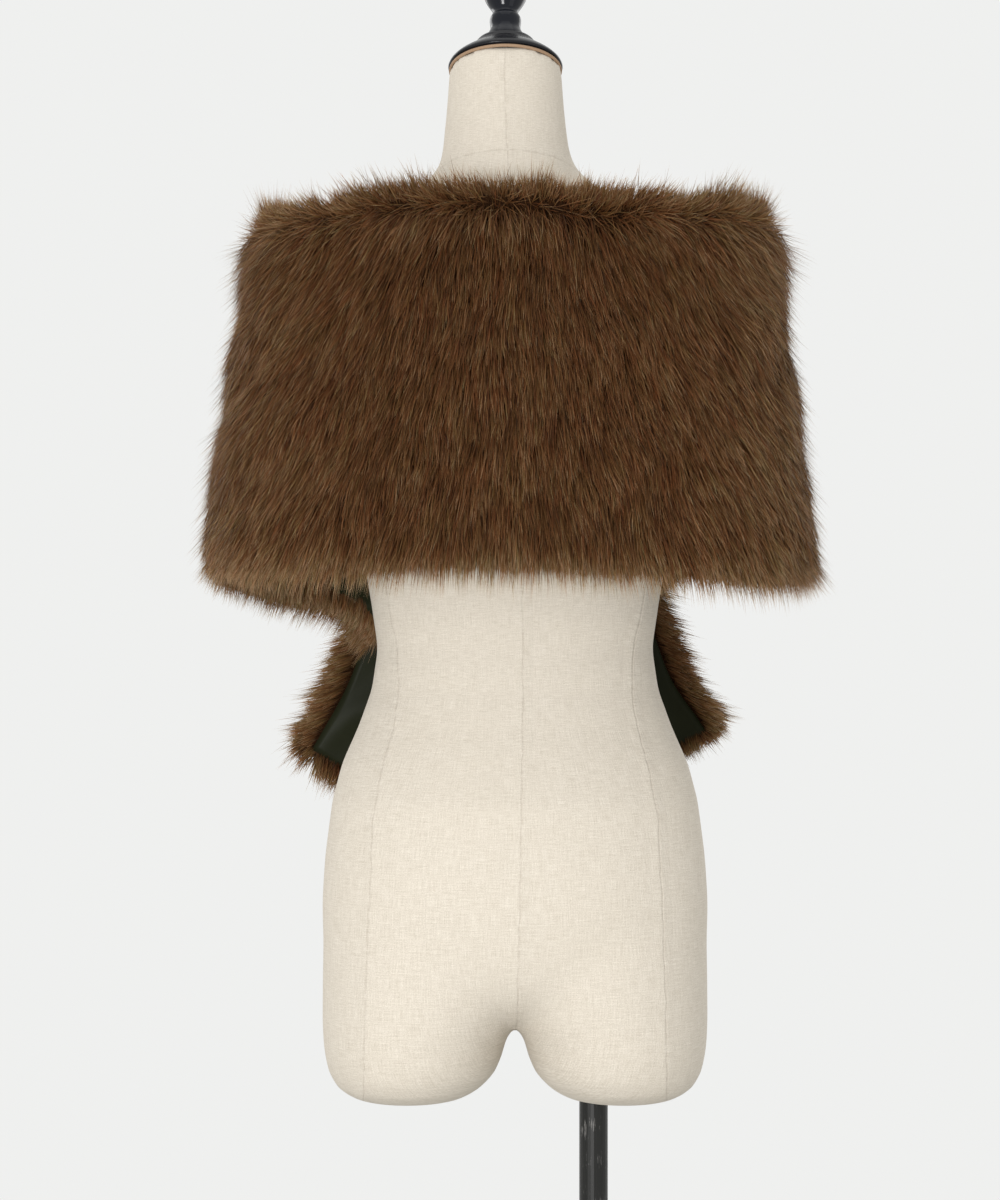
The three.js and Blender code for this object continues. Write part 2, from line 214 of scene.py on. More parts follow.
# Handling marks: fine scratches and rubbed spots, 0 on clean paint and 1 on a mark
MARKS, marks_in, marks_out = new_group("handling_marks", {"Place": None, "Amount": 0.5}, ("Mark", "Height"))
scratches = noise(MARKS, marks_in.outputs["Place"], (900, 900, 60), 3.0, 0.7)
rubs = noise(MARKS, marks_in.outputs["Place"], 55.0, 4.0, 0.65)
marked = math_node(MARKS, "MULTIPLY", scratches, rubs)
edge = math_node(MARKS, "SUBTRACT", 0.52, math_node(MARKS, "MULTIPLY", marks_in.outputs["Amount"], 0.25))
mark_ramp = put(MARKS, "ShaderNodeMapRange", [("Value", marked), ("From Min", edge)])
MARKS.links.new(math_node(MARKS, "ADD", edge, 0.08), mark_ramp.inputs["From Max"])
MARKS.links.new(mark_ramp.outputs["Result"], marks_out.inputs["Mark"])
MARKS.links.new(rubs, marks_out.inputs["Height"])


def bump(tree, shader, height, strength, distance):
    """A Bump node that feeds the shader's normal."""
    node = put(tree, "ShaderNodeBump", [("Height", height)], Strength=strength, Distance=distance)
    tree.links.new(node.outputs["Normal"], shader.inputs["Normal"])


# ---- materials
STRAND_MAP = "OFBake"
CLOTH_MAP = "cloth"
HUES = 3


def fur_material():
    """Hair colour by the strand map: up is the place from root to tip, and across are three hues, reddish, brown and
    olive, each with the hair's tone from dark to golden, which holds painted light and shade as well as the hair's own
    colour."""
    material, tree, shader = tree_of("fur")
    place = on_map(tree, STRAND_MAP)
    parts = put(tree, "ShaderNodeSeparateXYZ", [("Vector", place)])
    across, along = math_node(tree, "MULTIPLY", parts.outputs["X"], float(HUES)), parts.outputs["Y"]
    # The tone holds the hair's own colour and the painted light and shade set in strand_map.
    tone = math_node(tree, "FRACT", across)
    hue = math_node(tree, "MULTIPLY", math_node(tree, "FLOOR", across), 0.5)
    brown = ramp(tree, along, [
        (0.0, (0.009, 0.0036, 0.0013)), (0.35, (0.048, 0.0180, 0.0056)),
        (0.72, (0.116, 0.0460, 0.0155)), (1.0, (0.225, 0.108, 0.044))])
    golden = ramp(tree, along, [
        (0.0, (0.018, 0.0090, 0.0040)), (0.35, (0.092, 0.046, 0.0185)),
        (0.7, (0.228, 0.125, 0.053)), (1.0, (0.58, 0.435, 0.280))])
    dark = ramp(tree, along, [
        (0.0, (0.004, 0.0018, 0.0009)), (0.5, (0.021, 0.0085, 0.0032)), (1.0, (0.070, 0.031, 0.013))])
    low = mix(tree, spread(tree, tone, (0.0, 0.45)), dark, brown)
    toned = mix(tree, spread(tree, tone, (0.55, 1.0)), low, golden)
    tint = ramp(tree, hue, [(0.0, (1.0, 0.84, 0.78)), (0.5, (0.94, 0.94, 0.92)), (1.0, (0.87, 0.96, 0.82))])
    finish(tree, shader, mix(tree, 1.0, toned, tint, "MULTIPLY"), 0.45, 0.1)
    return material


def pile_material():
    """The dense pile under the hairs: dark brown, streaked down the cloth."""
    material, tree, shader = tree_of("fur_pile")
    cloth = on_map(tree, CLOTH_MAP)
    streaks = noise(tree, cloth, (700, 110, 1), 3.0, 0.6)
    colour = ramp(tree, streaks, [(0.3, (0.008, 0.0034, 0.0014)), (0.75, (0.038, 0.0150, 0.0055))])
    finish(tree, shader, colour, 0.9, 0.05)
    bump(tree, shader, streaks, 0.8, 0.003)
    return material


def lining_material():
    """Dark green satin, with threads along the cloth, and a soft sheen painted into its colour as lighter patches,
    which also vary its roughness.
    """
    material, tree, shader = tree_of("lining")
    cloth = on_map(tree, CLOTH_MAP)
    weave = put(tree, "ShaderNodeGroup", [("Cloth", cloth)], node_tree=WEAVE, Threads=3000.0, Slub=0.1)
    # Painted sheen: soft patches that lighten the colour; the same patches vary the roughness.
    soft = noise(tree, cloth, 14.0, 2.0)
    colour = mix(tree, soft, (0.0088, 0.0100, 0.0042), (0.0190, 0.0210, 0.0100))
    thread = math_node(tree, "MULTIPLY", weave.outputs["Shade"], 0.12)
    colour = mix(tree, thread, colour, (0.026, 0.028, 0.016))
    finish(tree, shader, colour, spread(tree, soft, target=(0.30, 0.44)), 0.05)
    bump(tree, shader, weave.outputs["Height"], 0.15, 0.0002)
    return material


def canvas_material():
    """Natural linen, a plain weave with slubs and faint stains. seams holds the distances from four kinds of seam, and
    near each the cloth is drawn in by its stitches, with painted shade along the seam line."""
    material, tree, shader = tree_of("form_canvas")
    cloth = on_map(tree, CLOTH_MAP)
    weave = put(tree, "ShaderNodeGroup", [("Cloth", cloth)], node_tree=WEAVE, Threads=1500.0, Slub=0.55)
    grain = noise(tree, cloth, 1000.0, 2.0, 0.7)
    shade = math_node(tree, "ADD", math_node(tree, "MULTIPLY", weave.outputs["Shade"], 0.58),
                      math_node(tree, "MULTIPLY", grain, 0.42))
    linen = mix(tree, spread(tree, shade, (0.38, 0.66)), (0.465, 0.410, 0.336), (0.765, 0.710, 0.628))
    stains = math_node(tree, "MULTIPLY", noise(tree, cloth, 9.0, 4.0, 0.6), 0.30)
    linen = mix(tree, stains, linen, (0.585, 0.525, 0.43))
    flecks = spread(tree, noise(tree, cloth, (160, 520, 1), 1.0), (0.70, 0.80))
    linen = mix(tree, math_node(tree, "MULTIPLY", flecks, 0.30), linen, (0.50, 0.41, 0.31))

    seams = put(tree, "ShaderNodeAttribute", attribute_name="seams")
    parts = put(tree, "ShaderNodeSeparateXYZ", [("Vector", seams.outputs["Vector"])])
    drift = noise(tree, cloth, (20, 55, 1), 2.0)
    wander = math_node(tree, "MULTIPLY_ADD", drift, 0.0036, -0.0018)
    distance = None
    for part in (parts.outputs["X"], parts.outputs["Y"], parts.outputs["Z"], seams.outputs["Alpha"]):
        near = math_node(tree, "ABSOLUTE", math_node(tree, "ADD", part, wander))
        distance = near if distance is None else math_node(tree, "MINIMUM", distance, near)
    groove = spread(tree, distance, (0.0, 0.0011), (1.0, 0.0))
    ridge = spread(tree, distance, (0.0, 0.008), (1.0, 0.0))
    stitch = noise(tree, cloth, (60, 190, 1), 2.0, 0.6)
    # Painted shade along each seam line, broken up by the stitches.
    painted_seam_shade = math_node(tree, "MULTIPLY", groove, spread(tree, stitch, (0.35, 0.62)))
    finish(tree, shader, mix(tree, math_node(tree, "MULTIPLY", painted_seam_shade, 0.26), linen, (0.27, 0.21, 0.155)), 0.85, 0.2)
    puckers = math_node(tree, "MULTIPLY", ridge, stitch)
    sewn = math_node(tree, "SUBTRACT", math_node(tree, "MULTIPLY", puckers, 1.6),
                     math_node(tree, "MULTIPLY", groove, 0.5))
    seam_bump = put(tree, "ShaderNodeBump", [("Height", sewn)], Strength=0.7, Distance=0.0012)
    weave_bump = put(tree, "ShaderNodeBump", [
        ("Height", weave.outputs["Height"]), ("Normal", seam_bump.outputs["Normal"])], Strength=0.35, Distance=0.0004)
    tree.links.new(weave_bump.outputs["Normal"], shader.inputs["Normal"])
    return material


def black_material(name, colour, worn, roughness, shine, amount):
    """Black lacquer or paint with handling marks on it."""
    material, tree, shader = tree_of(name)
    place = put(tree, "ShaderNodeTexCoord").outputs["Object"]
    marks = put(tree, "ShaderNodeGroup", [("Place", place)], node_tree=MARKS, Amount=amount)
    rough = spread(tree, marks.outputs["Height"], target=(roughness - 0.06, roughness + 0.12))
    finish(tree, shader, mix(tree, marks.outputs["Mark"], colour, worn), rough, shine)
    bump(tree, shader, marks.outputs["Height"], 0.12, 0.0006)
    return material


def tape_material():
    """Brown woven tape, from dark to light brown by a fine noise."""
    material, tree, shader = tree_of("brown_tape")
    cloth = on_map(tree, CLOTH_MAP)
    colour = mix(tree, noise(tree, cloth, 500.0), (0.24, 0.145, 0.085), (0.42, 0.29, 0.19))
    finish(tree, shader, colour, 0.8, 0.2)
    return material


def paper_material():
    """Pale paper, a little lighter and darker in soft patches."""
    material, tree, shader = tree_of("floor_paper")
    patches = noise(tree, put(tree, "ShaderNodeTexCoord").outputs["Object"], 3.0)
    finish(tree, shader, mix(tree, patches, (0.60, 0.60, 0.59), (0.62, 0.62, 0.61)), 0.9)
    return material


TAPE = tape_material()
FUR = fur_material()
PILE_UNDER = pile_material()
SATIN = lining_material()
CANVAS = canvas_material()
LACQUER = black_material("black_lacquer", (0.004, 0.005, 0.009), (0.02, 0.02, 0.024), 0.10, 0.26, 0.1)
CAP_PAINT = black_material("cap_paint", (0.007, 0.007, 0.009), (0.05, 0.05, 0.05), 0.22, 0.25, 0.3)
STEEL = black_material("black_steel", (0.009, 0.009, 0.008), (0.13, 0.125, 0.12), 0.34, 0.30, 0.75)


# ---- mesh helpers
PROFILE_STEP = 0.0035


def make_mesh(name, points, faces, material, smooth=True, uv=None, uv_name=CLOTH_MAP):
    """A piece from points (n, 3) and faces (m, k) or a list of such arrays, with a value of uv for each point."""
    groups = faces if isinstance(faces, list) else [faces]
    mesh = bpy.data.meshes.new(name)
    mesh.vertices.add(len(points))
    mesh.vertices.foreach_set("co", np.asarray(points, np.float32).ravel())
    corner = np.concatenate([g.ravel() for g in groups]).astype(np.int32)
    sizes = np.concatenate([np.full(len(g), g.shape[1], np.int32) for g in groups])
    starts = np.concatenate([[0], np.cumsum(sizes)[:-1]]).astype(np.int32)
    mesh.loops.add(len(corner))
    mesh.loops.foreach_set("vertex_index", corner)
    mesh.polygons.add(len(sizes))
    mesh.polygons.foreach_set("loop_start", starts)
    mesh.polygons.foreach_set("use_smooth", np.full(len(sizes), smooth))
    if uv is not None:
        layer = mesh.uv_layers.new(name=uv_name)
        layer.data.foreach_set("uv", np.asarray(uv, np.float32)[corner].ravel())
    mesh.update(calc_edges=True)
    mesh.validate()
    mesh.materials.append(material)
    return new_object(name, mesh)


def grid_faces(rows, around, closed=False):
    """Quads between the rows of a grid whose rows are rings, and from the last row to the first if closed."""
    ring, k = np.meshgrid(np.arange(rows if closed else rows - 1), np.arange(around), indexing="ij")
    after, ring, next_ring = (k + 1) % around, ring * around, (ring + 1) % rows * around
    return np.stack([ring + k, ring + after, next_ring + after, next_ring + k], -1).reshape(-1, 4)


def loft(rings):
    """Faces of a closed body from rings (r, n, 3): quads between rings, and each end closed by a ladder of quads
    between point k and point n - 1 - k. They are turned round if the volume comes out negative."""
    count, around = rings.shape[:2]
    k = np.arange(around // 2 - 1)
    ladder = np.stack([k, around - 1 - k, around - 2 - k, k + 1], -1)
    far = (count - 1) * around + ladder[:, ::-1]
    faces = np.concatenate([grid_faces(count, around), ladder, far])
    points = rings.reshape(-1, 3)
    a, b, c, d = (points[faces[:, i]] for i in range(4))
    volume = (a * np.cross(b, c)).sum() + (a * np.cross(c, d)).sum()
    return points, faces if volume > 0 else faces[:, ::-1]


def revolve(name, profile, steps, place, material):
    """A turned piece: the profile (radius, height), cut into short steps and softened by the mean of neighbours,
    is carried round the axis, closed on it at both ends, and put in place by a function."""
    profile = np.array(profile, float) * MM
    dense = [profile[0]]
    for a, b in zip(profile[:-1], profile[1:]):
        parts = max(1, int(np.ceil(np.hypot(*(b - a)) / PROFILE_STEP)))
        dense += [a + (b - a) * i / parts for i in range(1, parts + 1)]
    dense = np.array(dense)
    for _ in range(2):
        dense[1:-1] = 0.5 * dense[1:-1] + 0.25 * (dense[:-2] + dense[2:])
    inner = dense[1:-1]
    turn = np.arange(steps) * 2 * np.pi / steps
    r, z = inner[:, 0][:, None], inner[:, 1][:, None]
    grid = np.stack([r * np.cos(turn), r * np.sin(turn), z + 0 * turn], -1).reshape(-1, 3)
    points = np.vstack([grid, [[0, 0, dense[0, 1]], [0, 0, dense[-1, 1]]]])
    rows = len(inner)
    k = np.arange(steps)
    after, top = (k + 1) % steps, (rows - 1) * steps
    low = np.stack([after, k, np.full(steps, rows * steps)], -1)
    high = np.stack([top + k, top + after, np.full(steps, rows * steps + 1)], -1)
    return make_mesh(name, place(points), [grid_faces(rows, steps), low, high], material)


# ---- the wrap's strip
# Millimetres, one row for each section across the strip, from the left end round the back to the right end:
# top edge, hem, how far the middle stands out, and the height of the soft folds along it.
WRAP_ROWS = np.array([
    [-164, -118, 922, 45, -130, 818, 2, 1.5],
    [-140, -121, 958, 68, -131, 862, 3, 1],
    [-118, -124, 1014, 94, -130, 918, 4, 0.5],
    [-78, -127, 1088, 112, -128, 984, 6, 0],
    [-20, -130, 1157, 138, -120, 1018, 8, 0],
    [44, -122, 1210, 171, -100, 1031, 12, 1],
    [103, -98, 1256, 204, -70, 1037, 16, 3],
    [152, -62, 1296, 227, -36, 1046, 13, 3],
    [184, -30, 1321, 238, -4, 1054, 7, 2],
    [196.4, 6, 1327, 238, 32, 1061, 4, 1.5],
    [184, 48, 1328, 223, 74, 1061, 4, 1.5],
    [152, 76, 1332, 188, 103, 1059, 4, 1.5],
    [105, 91, 1341, 135, 118, 1063, 4, 1.5],
    [0, 98, 1343, 0, 126, 1066, 4, 1.5],
    [-105, 91, 1338, -133, 118, 1058, 4, 1.5],
    [-152, 76, 1337, -184, 103, 1054, 4, 1.5],
    [-184, 48, 1334, -216, 74, 1055, 2, 1.5],
    [-195.2, 6, 1332, -229, 32, 1061, 1, 1],
    [-186, -30, 1321, -228, -4, 1062, 3, 2],
    [-150, -66, 1300, -218, -38, 1062, 10, 3],
    [-98, -105, 1264, -190, -80, 1061, 14, 3],
    [-30, -132, 1218, -154, -117, 1072, 12, 1],
    [38, -144, 1152, -122, -138, 1048, 8, 1],
    [84, -147, 1078, -100, -145, 982, 6, 1],
    [129, -148, 1002, -82, -147, 904, 4, 1],
    [153, -149, 946, -50, -148, 836, 3, 1],
    [181, -151, 896, -16, -150, 772, 2, 1.5],
]) * MM
LAST = len(WRAP_ROWS) - 1
CLOTH_WIDTH = 0.28
FOLDS_ACROSS = 3
STRETCHES = {
    "left_end": (0, 3), "left_front": (3, 7), "left_shoulder": (7, 11), "back": (11, 15),
    "right_shoulder": (15, 19), "right_front": (19, 23), "right_end": (23, 26),
}
# The rows from which the strip lies on top in front, and up to which it can lie underneath
COVER_FROM = 20
COVERED_TO = 9
# The dense pile: its depth, free and pressed, how far it runs past the hem, the top edge and the two ends, the
# height of its edge, the length of its faces, and the height of its lumps
UNDER = 12.5 * MM
UNDER_PRESSED = 7 * MM
UNDER_PAST = 6 * MM
UNDER_PAST_TOP = 9 * MM
UNDER_PAST_END = {0: 18 * MM, LAST: 7 * MM}
UNDER_SEAM_HEIGHT = 0.45 * UNDER
PILE_STEP = 8 * MM
LUMP_HEIGHT = 1.2 * MM
# The gap between neighbouring stretches, and between the skin and the satin
SEAM_GAP = 0.3 * MM
# The satin: its thickness, how far its sides are set in and its ends run past the strip's, the length of its
# faces, and the spacing and height of its creases
LINING = 1.2 * MM
LINING_INSET = 5 * MM
LINING_PAST_END = {0: 14 * MM, LAST: 2 * MM}
SATIN_STEP = 7 * MM
CREASE_SPACING = 62 * MM
CREASE_HEIGHT = 2.2 * MM


def rows_at(place):
    """The table's values at places counted in rows: a smooth curve through the rows, running on straight past
    both ends."""
    place = np.asarray(place, float)
    inside = np.clip(place, 0, LAST)
    padded = np.vstack([2 * WRAP_ROWS[0] - WRAP_ROWS[1], WRAP_ROWS, 2 * WRAP_ROWS[-1] - WRAP_ROWS[-2]])

    def curve(t):
        i = np.clip(np.floor(t).astype(int), 0, LAST - 1)
        f = (t - i)[..., None]
        p0, p1, p2, p3 = (padded[i + n] for n in range(4))
        bend = 2 * p0 - 5 * p1 + 4 * p2 - p3
        return p1 + f / 2 * (p2 - p0 + f * (bend + f * (3 * p1 - p0 - 3 * p2 + p3)))

    step = 0.01
    start = np.where(place < 0, 0.0, LAST - step)
    slope = (curve(start + step) - curve(start)) / step
    return curve(inside) + slope * (place - inside)[..., None]


def unit(vectors):
    """Vectors at length 1."""
    return vectors / np.maximum(np.linalg.norm(vectors, axis=-1, keepdims=True), 1e-12)


def flat_strip(u, v):
    """A point on the straight line from the top edge to the hem."""
    row = rows_at(u)
    return row[..., 0:3] + (row[..., 3:6] - row[..., 0:3]) * np.asarray(v)[..., None]


def normal_of(surface, u, v, step=0.02):
    """The outward normal of a surface, from points a small step apart."""
    along = surface(u + step, v) - surface(u - step, v)
    across = surface(u, v + step) - surface(u, v - step)
    return unit(np.cross(across, along))


def skin(u, v):
    """The skin's inner face: the flat strip moved out by a crown that is highest in the middle, and by soft folds
    that run along the strip."""
    row = rows_at(u)
    held = np.clip(v, 0, 1)
    crown = 4 * v * (1 - v) * row[..., 6]
    wave = row[..., 7] * np.cos(2 * np.pi * FOLDS_ACROSS * v + 1.3 * u) * np.sin(np.pi * held)
    return flat_strip(u, v) + normal_of(flat_strip, u, v) * (crown + wave)[..., None]


def wide_at(u):
    """The strip's width from the top edge to the hem."""
    row = rows_at(u)
    return np.linalg.norm(row[..., 3:6] - row[..., 0:3], axis=-1)


LENGTH_U = np.linspace(-2, LAST + 2, 1201)
middle_line = skin(LENGTH_U, np.full(len(LENGTH_U), 0.5))
LENGTH_S = np.concatenate([[0], np.cumsum(np.linalg.norm(np.diff(middle_line, axis=0), axis=1))])


def length_at(u):
    """Metres along the strip's middle."""
    return np.interp(u, LENGTH_U, LENGTH_S)


def place_at(s):
    """The place along the strip at a length in metres."""
    return np.interp(s, LENGTH_S, LENGTH_U)


cover_u = np.arange(COVER_FROM, LAST + 0.01, 0.25)
cover_rows = rows_at(cover_u)
COVER = np.vstack([cover_rows[:, [0, 2]], cover_rows[::-1][:, [3, 5]]])


def inside_cover(points):
    """How far points lie inside the outline of the end on top, seen from the front, and minus the distance
    outside it."""
    x, z = points[..., 0].ravel(), points[..., 2].ravel()
    inside = np.zeros(len(x), bool)
    nearest = np.full(len(x), np.inf)
    for (x1, z1), (x2, z2) in zip(COVER, np.roll(COVER, -1, axis=0)):
        crosses = (z1 > z) != (z2 > z)
        inside ^= crosses & (x < x1 + (x2 - x1) * (z - z1) / (z2 - z1 + 1e-15))
        dx, dz = x2 - x1, z2 - z1
        f = np.clip(((x - x1) * dx + (z - z1) * dz) / (dx * dx + dz * dz + 1e-15), 0, 1)
        nearest = np.minimum(nearest, np.hypot(x - x1 - f * dx, z - z1 - f * dz))
    return np.where(inside, nearest, -nearest).reshape(points.shape[:-1])


def ease(low, high, x):
    """0 below low, 1 above high and smooth between."""
    t = np.clip((x - low) / (high - low), 0, 1)
    return t * t * (3 - 2 * t)


def pressed(u, points):
    """1 where the end on top lies on the strip, 0 away from it."""
    return np.where(u > COVERED_TO, 0.0, ease(-0.055, -0.018, inside_cover(points)))


def waves(x, y, seed):
    """Soft uneven waves over two lengths in metres: a sum of sines in directions of their own, about -1 to 1."""
    turn = np.random.default_rng(seed)
    total = 0
    for size in (0.09, 0.06, 0.042, 0.03):
        angle, phase = turn.uniform(0, 2 * np.pi, 2)
        total = total + np.sin(2 * np.pi * (x * np.cos(angle) + y * np.sin(angle)) / size + phase) * size / 0.09
    return total / 1.6


def wall(u_places, across, inner, outer):
    """Rings of a closed wall: points across the strip at the inner height, then back at the outer height. Heights
    are functions of (u, v)."""
    u = np.repeat(u_places[:, None], len(across), axis=1)
    v = np.repeat(across[None, :], len(u_places), axis=0)
    held = np.clip(v, 0, 1)
    out = normal_of(skin, u, held)
    base = skin(u, v)
    low = base + out * inner(u, v)[..., None]
    high = base + out * outer(u, v)[..., None]
    return np.concatenate([low, high[:, ::-1]], axis=1)


def cloth_uv(rings, u_places, across):
    """Cloth lengths for each point of a wall: along the strip, and across it from the top edge."""
    s = length_at(u_places)
    w = across * CLOTH_WIDTH
    both = np.concatenate([w, w[::-1]])
    return np.stack([np.repeat(s[:, None], len(both), 1), np.repeat(both[None, :], len(s), 0)], -1).reshape(-1, 2)


def ends_of(stretch, past_end):
    """The places where a piece of a stretch begins and ends: half a seam gap back from its neighbours, and as far
    past the strip's own two ends as past_end says."""
    low, high = STRETCHES[stretch]
    back = -SEAM_GAP / 2
    return place_at(length_at(low) - past_end.get(low, back)), place_at(length_at(high) + past_end.get(high, back))


def make_under(stretch):
    """The skin with its dense short pile: a wall on the skin, at full height inside, that rounds over past the
    edges like a quarter circle and thins where the other end presses on it."""
    low, high = STRETCHES[stretch]
    first, last = ends_of(stretch, UNDER_PAST_END)
    start, stop = length_at(0) - UNDER_PAST_END[0], length_at(LAST) + UNDER_PAST_END[LAST]
    places = np.linspace(first, last, int((length_at(last) - length_at(first)) / PILE_STEP))
    quarter = np.linspace(0, np.pi / 2, 6)
    if low == 0:
        places = np.concatenate([place_at(start + UNDER_PAST * (1 - np.cos(quarter)))[:-1],
                                 places[places > place_at(start + UNDER_PAST)]])
    if high == LAST:
        places = np.concatenate([places[places < place_at(stop - UNDER_PAST)],
                                 place_at(stop - UNDER_PAST * (1 - np.sin(quarter)))[1:]])
    top, hem = UNDER_PAST_TOP / CLOTH_WIDTH, UNDER_PAST / CLOTH_WIDTH
    across = np.concatenate([-top * np.cos(quarter)[:-1], np.linspace(0, 1, 36), 1 + hem * np.sin(quarter)[1:]])

    def swell(u, v):
        beside = np.maximum(np.maximum(-v / top, (v - 1) / hem), 0)
        s = length_at(u)
        beyond = np.maximum(np.maximum(start + UNDER_PAST - s, s - stop + UNDER_PAST), 0) / UNDER_PAST
        return np.sqrt(np.clip(1 - beside ** 2 - beyond ** 2, 0.0, 1))

    def inner(u, v):
        return UNDER_SEAM_HEIGHT * (1 - swell(u, v))

    def outer(u, v):
        full = UNDER + (UNDER_PRESSED - UNDER) * pressed(u, skin(u, np.clip(v, 0, 1)))
        lumps = LUMP_HEIGHT * waves(length_at(u), v * CLOTH_WIDTH, 5) * swell(u, v)
        return UNDER_SEAM_HEIGHT + 0.0003 + (full - UNDER_SEAM_HEIGHT) * swell(u, v) + lumps

    rings = wall(places, across, inner, outer)
    points, faces = loft(rings)
    return make_mesh(f"fur_{stretch}_cloth", points, faces, PILE_UNDER, uv=cloth_uv(rings, places, across))


def make_lining(stretch):
    """The satin just inside the skin, with soft pulled creases where it hangs free: slanting lines whose phase
    is bent by a sine along and one across."""
    first, last = ends_of(stretch, LINING_PAST_END)
    places = np.linspace(first, last, int((length_at(last) - length_at(first)) / SATIN_STEP))
    inset = LINING_INSET / CLOTH_WIDTH
    across = np.linspace(inset, 1 - inset, 40)

    def crease(u, v):
        free = ease(0.5, 0.8, v) + ease(4.5, 3, u) + ease(21.5, 23, u)
        s, w = length_at(u), v * CLOTH_WIDTH
        slant = 2 * np.pi * (s * 0.8 + w * 0.45) / CREASE_SPACING
        folds = 0.5 + 0.5 * np.sin(slant + 2.2 * np.sin(s / 0.05) + 1.4 * np.sin(w / 0.04))
        edge = np.clip(np.minimum(v, 1 - v) / 0.06, 0, 1)
        return CREASE_HEIGHT * np.clip(free, 0, 1) * folds ** 2 * edge

    rings = wall(places, across, lambda u, v: -SEAM_GAP - LINING - crease(u, v),
                 lambda u, v: -SEAM_GAP - crease(u, v))
    points, faces = loft(rings)
    return make_mesh(f"lining_{stretch}_satin", points, faces, SATIN, uv=cloth_uv(rings, places, across))


# ---- hairs
# The points from which the hairs fan out down the back, and from which they fan out along its top edge
FAN_FROM = np.array([0.0, 0.0, 1.56])
RUFF_FROM = np.array([0.0, 0.0, 1.19])
HAIRS = {"left_end": 30000, "left_front": 42000, "left_shoulder": 55000, "back": 96000,
         "right_shoulder": 55000, "right_front": 50000, "right_end": 30000}
FIRST_SEED = 40
TONES = 20
# How far the roots run past the strip's two ends
ROOTS_PAST_END = {end: past - 3 * MM for end, past in UNDER_PAST_END.items()}
# The rows over which the front passes into the back at the left and the right, and the row up to which the
# hem's lining side is seen
LEFT_TURN = (4.5, 7.5)
RIGHT_TURN = (21.5, 18.5)
HEM_SEEN_TO = 11
# Widths of the tufts, a hair's usual length, its least and greatest and half its width, in metres, and the
# degrees by which it leaves the skin
TUFT = 0.0065
BROAD_TUFT = 0.019
HAIR_LENGTH = 0.031
LENGTH_LIMITS = (0.014, 0.040)
HAIR_HALF_WIDTH = 0.00038
HAIR_LIFT = 37
# Streaks of one tone: width, length and share of each kind
STREAKS = ((0.0013, 0.019, 0.88), (0.0042, 0.034, 0.24))
# Shares of the hairs: along the top edge and the hem of the back and of the other stretches, the span of those
# along a cut end, and those on the lining side of an edge
BACK_SHARES = (0.14, 0.13)
OTHER_SHARES = (0.15, 0.14)
END_SPAN = (0.30, 0.42)
LINING_SIDE_SHARE = 0.45


def cell_random(i, j, seed):
    """Three values from 0 to 1 for each cell, always the same for the same cell: what is left past the point of a
    large multiple of a sine."""
    values = []
    for n in range(3):
        mixed = np.sin(i * 127.1 + j * 311.7 + seed * 74.7 + n * 19.19) * 43758.5453
        values.append(mixed - np.floor(mixed))
    return values


def tufts(s, w, size, seed):
    """The nearest tuft of each hair, in cells of a size with their middles set at random: how far it lies along
    and across, and three values of its own."""
    i0, j0 = np.floor(s / size), np.floor(w / size)
    best = np.full(len(s), np.inf)
    found = [np.zeros(len(s)) for _ in range(5)]
    for di in (-1, 0, 1):
        for dj in (-1, 0, 1):
            i, j = i0 + di, j0 + dj
            a, b, c = cell_random(i, j, seed)
            ds, dw = (i + a) * size - s, (j + b) * size - w
            d = ds * ds + dw * dw
            closer = d < best
            best = np.where(closer, d, best)
            for n, value in enumerate((ds, dw, a, b, c)):
                found[n] = np.where(closer, value, found[n])
    return found


def in_plane(vectors, out):
    """The part of vectors that lies in the skin, at length 1."""
    return unit(vectors - out * (vectors * out).sum(-1, keepdims=True))


def blend(a, b, share):
    """Vectors between a and b, by a share for each."""
    return a * (1 - share)[:, None] + b * share[:, None]


def turned(vectors, side, angle):
    """Vectors turned by an angle towards the side."""
    return vectors * np.cos(angle)[:, None] + side * np.sin(angle)[:, None]


def scatter_roots(stretch, count, pick):
    """Places of the roots: most spread evenly over the stretch, some along its cut edges. rim is how each of those
    stands: 1 on the pile side, -1 on the lining side and 0 for the others."""
    low, high = STRETCHES[stretch]
    first = length_at(low) - ROOTS_PAST_END.get(low, 0)
    last = length_at(high) + ROOTS_PAST_END.get(high, 0)
    s = pick.uniform(first, last, count)
    wide = wide_at(place_at(s))
    w = pick.uniform(-0.004, 1, count) * wide
    rim = np.zeros(count)
    kind = pick.random(count)
    top_share, hem_share = BACK_SHARES if stretch == "back" else OTHER_SHARES
    at_top, at_hem = kind < top_share, (kind >= top_share) & (kind < top_share + hem_share)
    w = np.where(at_top, pick.uniform(-0.008, 0.004, count), w)
    w = np.where(at_hem, wide - pick.uniform(-0.003, 0.006, count), w)
    if low == 0 or high == LAST:
        at_end = (kind >= END_SPAN[0]) & (kind < END_SPAN[1])
        inward = pick.uniform(-0.001, 0.006, count)
        s = np.where(at_end, first + inward if low == 0 else last - inward, s)
        rim = np.where(at_end, 1.0, rim)
    rim = np.where(at_top | at_hem, 1.0, rim)
    rim *= np.where(pick.random(count) < LINING_SIDE_SHARE, -1, 1)
    if high <= HEM_SEEN_TO:
        turned_in = at_hem & (rim < 0)
        w = np.where(turned_in, wide - pick.uniform(-0.003, 0.011, count), w)
    return s, w, rim


def streak_tones(s, w, slope, seed):
    """Tones that hairs of one streak share, about -1 to 1: lanes that run the way the hairs lie, cut into lengths
    that start at a random place in each lane."""
    label = s - w * np.clip(slope, -1.5, 1.5)
    total = 0
    for wide, long, share in STREAKS:
        lane = np.floor(label / wide)
        shift = cell_random(lane, 0 * lane, seed)[1]
        total = total + share * (2 * cell_random(lane, np.floor(w / long + shift), seed + 3)[0] - 1)
    return total


